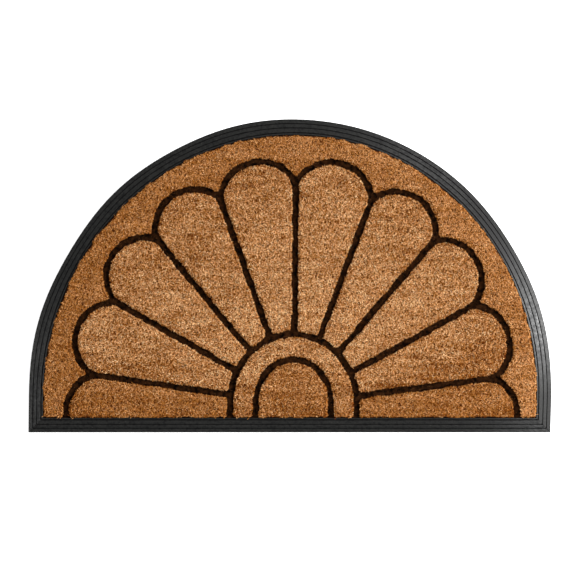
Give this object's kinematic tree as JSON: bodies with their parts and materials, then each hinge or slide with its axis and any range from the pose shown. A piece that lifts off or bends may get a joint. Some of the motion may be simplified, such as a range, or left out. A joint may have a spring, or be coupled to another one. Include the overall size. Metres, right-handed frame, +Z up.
{
  "type": "half-round coir doormat",
  "caption": "Flat half-round doormat: coir pile pads in a moulded black rubber tray with a ribbed border, drawing a fan of petals around an arch.",
  "frame": {"origin": "middle of the mat's box, on the floor", "axes": "+X along the straight edge, +Y from the straight edge towards the crown of the arch, +Z up out of the pile"},
  "size_m": [0.7514, 0.45, 0.012],
  "materials": {
    "moulded_rubber": "matte, slightly sheeny black moulded rubber",
    "coir_petals": "brushed natural coir pile, light tan",
    "coir_outer": "brushed natural coir pile, warm brown",
    "coir_arch": "brushed natural coir pile, brown"
  },
  "bodies": {
    "root": {"rubber_base": "moulded_rubber", "coir_petal_01": "coir_petals", "coir_petal_02": "coir_petals", "coir_petal_03": "coir_petals", "coir_petal_04": "coir_petals", "coir_petal_05": "coir_petals", "coir_petal_06": "coir_petals", "coir_petal_07": "coir_petals", "coir_petal_08": "coir_petals", "coir_petal_09": "coir_petals", "coir_petal_10": "coir_petals", "coir_outer_field": "coir_outer", "coir_ring": "coir_arch", "coir_centre": "coir_arch"}
  },
  "joints": []
}
